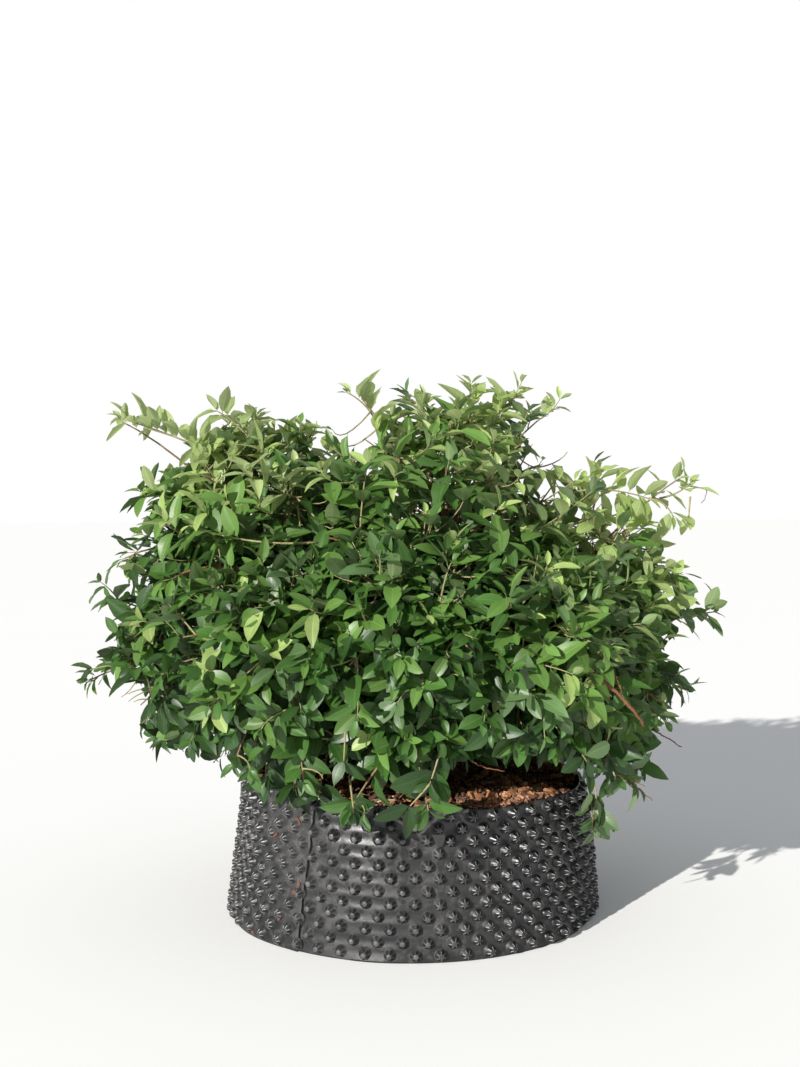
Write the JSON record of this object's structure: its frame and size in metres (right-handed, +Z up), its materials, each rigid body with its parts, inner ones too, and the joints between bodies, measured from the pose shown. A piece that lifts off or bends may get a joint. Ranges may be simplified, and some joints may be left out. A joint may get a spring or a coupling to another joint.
{
  "type": "potted italian honeysuckle shrub",
  "caption": "Dense rounded honeysuckle shrub with opposite pointed leaves, growing in a low round studded air-pruning pot filled with bark mulch.",
  "frame": {"origin": "centre of the pot's flat underside", "axes": "+Z up out of the pot, -Y towards the viewer in the picture, +X to the viewer's right"},
  "size_m": [1.015, 0.8161, 0.8398],
  "materials": {
    "black_plastic": "satin",
    "bark_mulch": "matte",
    "bark": "matte",
    "leaves": "matte"
  },
  "bodies": {
    "root": {"pot": "black_plastic", "soil": "bark_mulch", "main_stem": "bark", "bough_upper_left": "bark", "bough_top_centre": "bark", "bough_upper_right": "bark", "bough_left": "bark", "bough_right": "bark", "bough_front_left": "bark", "bough_front_middle": "bark", "bough_front_right": "bark", "bough_front_low": "bark", "bough_back_left": "bark", "bough_back_right": "bark", "foliage_upper_left": "leaves", "foliage_top_centre": "leaves", "foliage_upper_right": "leaves", "foliage_left": "leaves", "foliage_right": "leaves", "foliage_front_left": "leaves", "foliage_front_middle": "leaves", "foliage_front_right": "leaves", "foliage_front_low": "leaves", "foliage_back_left": "leaves", "foliage_back_right": "leaves"}
  },
  "joints": []
}
